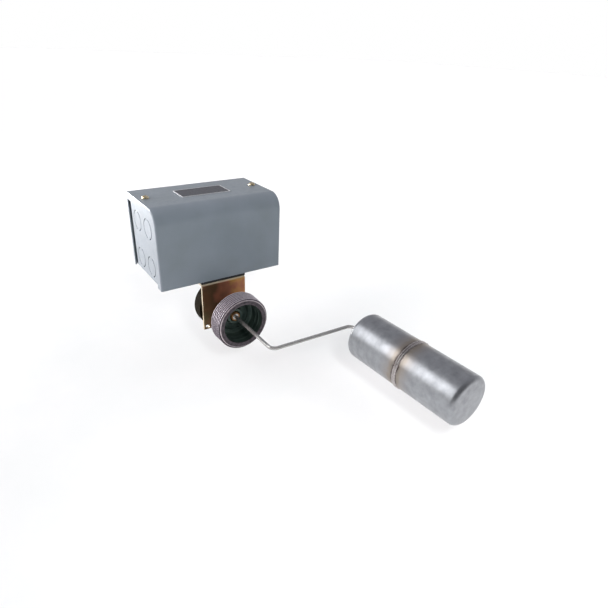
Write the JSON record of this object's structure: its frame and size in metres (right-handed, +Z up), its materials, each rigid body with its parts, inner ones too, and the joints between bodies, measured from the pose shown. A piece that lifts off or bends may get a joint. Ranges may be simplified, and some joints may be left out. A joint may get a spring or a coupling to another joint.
{
  "type": "side-mounted tank float switch",
  "caption": "Tank float switch: enamelled sheet-steel switch box on a bracket, threaded tank connection and a cylindrical stainless float on a cranked rod.",
  "frame": {"origin": "on the tank thread's axis, in the plane where the tank boss comes hand tight, 17.3 mm behind the rim", "axes": "+X to the right towards the float, +Y from the tank back to the switch box, +Z up"},
  "size_m": [0.2457, 0.4123, 0.1866],
  "materials": {
    "cast_iron": "dark phosphated casting, rolled thread",
    "bronze": "turned bearing bronze",
    "black_rubber": "matte moulded rubber",
    "zinc_plated_steel": "bright zinc plate",
    "grey_enamel": "semi-gloss grey-blue enamel",
    "brass": "plain brass",
    "black_anodised": "black anodised, silver border",
    "yellow_chromate": "zinc plate with yellow chromate",
    "black_cast_zinc": "black enamel",
    "stainless_steel": "ground stainless bar",
    "brushed_stainless": "satin drawn stainless sheet",
    "phenolic": "dark brown moulded phenolic",
    "spring_steel": "oiled spring steel",
    "green_screw": "green dyed earthing screw"
  },
  "bodies": {
    "switch_body": {"tank_casting": "cast_iron", "gland_bush": "bronze", "rear_bush": "bronze", "shaft_seal": "black_rubber", "lock_nut": "zinc_plated_steel", "cover": "grey_enamel", "base_pan": "grey_enamel", "cover_screws": "brass", "nameplate": "black_anodised", "bracket": "yellow_chromate", "bracket_gasket": "black_rubber", "bracket_bolts": "zinc_plated_steel", "bracket_nuts": "zinc_plated_steel", "rear_housing": "black_cast_zinc", "housing_screws": "zinc_plated_steel", "mechanism_frame": "zinc_plated_steel", "stop_screws": "zinc_plated_steel", "pivot_pin": "stainless_steel", "contact_block": "phenolic", "contact_block_screws": "brass", "fixed_contacts": "brass", "terminal_screws": "brass", "toggle_spring": "spring_steel", "ground_screw": "green_screw"},
    "float_arm": {"operating_shaft": "stainless_steel", "operating_lever": "zinc_plated_steel", "lever_set_screw": "spring_steel", "drive_pin": "stainless_steel", "float_rod": "stainless_steel", "float_ferrule": "stainless_steel", "float_rear_cup": "brushed_stainless", "float_front_cup": "brushed_stainless", "float_weld": "stainless_steel"},
    "contact_rocker": {"rocker": "zinc_plated_steel", "contact_carrier": "phenolic", "carrier_rivets": "brass", "moving_contacts": "brass"}
  },
  "joints": [
    {"name": "float_swing", "type": "hinge", "parent": "switch_body", "child": "float_arm", "pos_m": [0, 0, 0], "axis": [0, -1, 0], "range_deg": [0, 22]},
    {"name": "contact_rock", "type": "hinge", "parent": "switch_body", "child": "contact_rocker", "pos_m": [0, 0.0542, 0.09868], "axis": [0, -1, 0], "range_deg": [-35.5, 0], "deforming": ["toggle_spring"]}
  ],
  "couplings": [
    {"joint": "contact_rock", "follows": "float_swing", "ratio": -1.6084}
  ]
}
